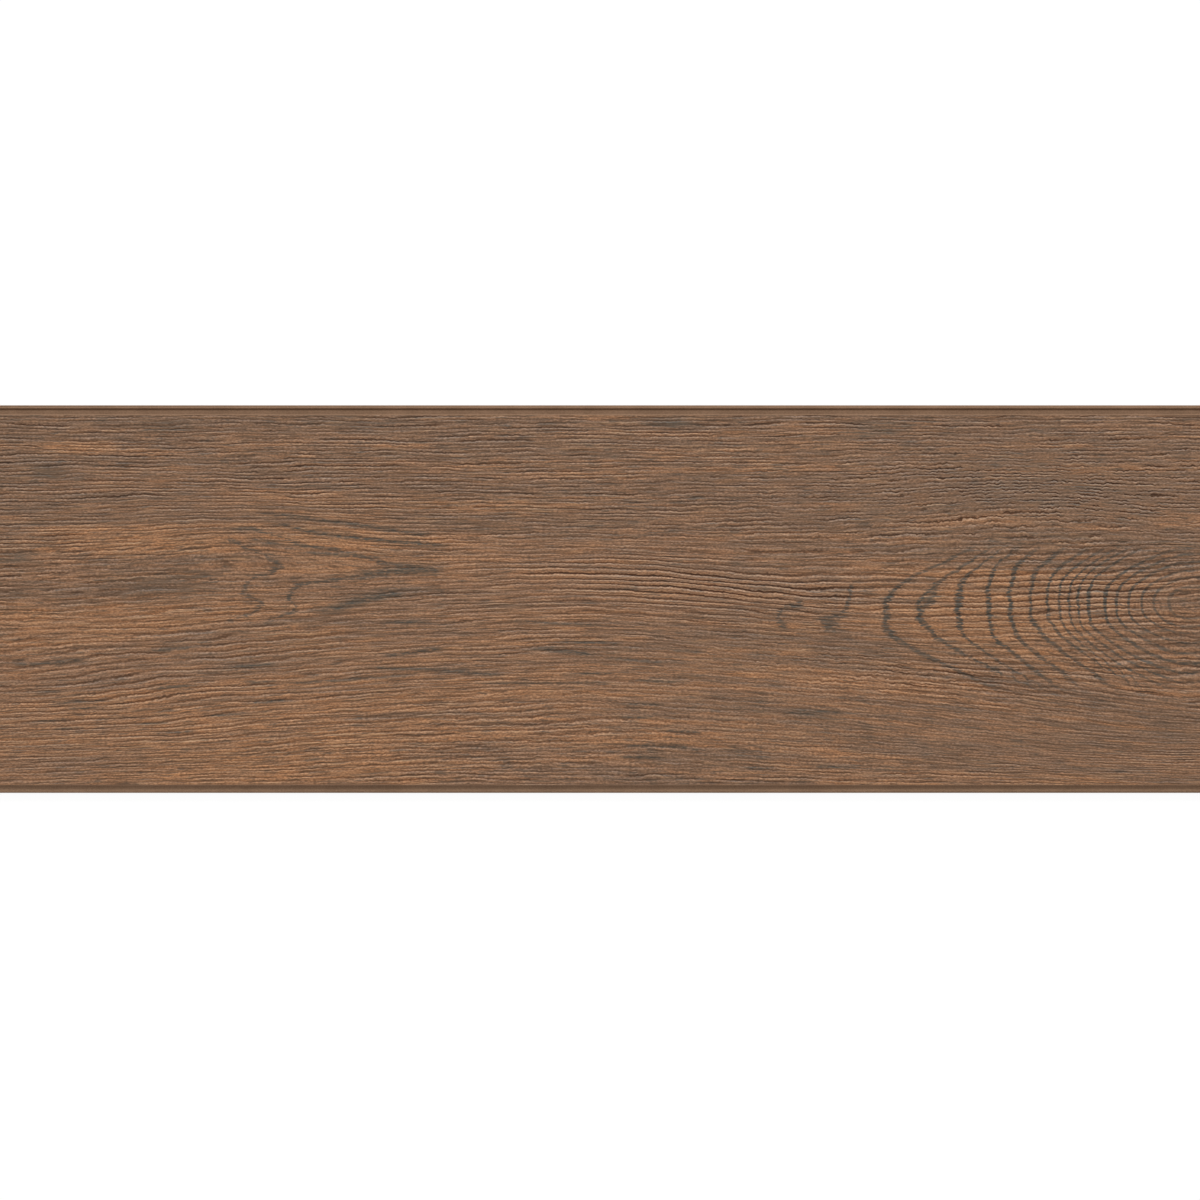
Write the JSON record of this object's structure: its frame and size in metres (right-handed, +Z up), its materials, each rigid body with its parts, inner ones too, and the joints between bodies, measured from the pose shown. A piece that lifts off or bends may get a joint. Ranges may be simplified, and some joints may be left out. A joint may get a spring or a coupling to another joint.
{
  "type": "laminate floor plank",
  "caption": "Flat click-lock laminate floor plank with an embossed brown oak decor face and a locking tongue and groove profile milled along its edges.",
  "frame": {"origin": "on the underside, below the middle of the decor face", "axes": "+X along the plank towards its short tongue, +Y across it towards its long tongue, +Z up out of the decor face"},
  "size_m": [1.294, 0.201, 0.008],
  "materials": {
    "laminate": "matt brown oak decor with embossed grain, on a pressed fibre board"
  },
  "bodies": {
    "root": {"plank": "laminate"}
  },
  "joints": []
}
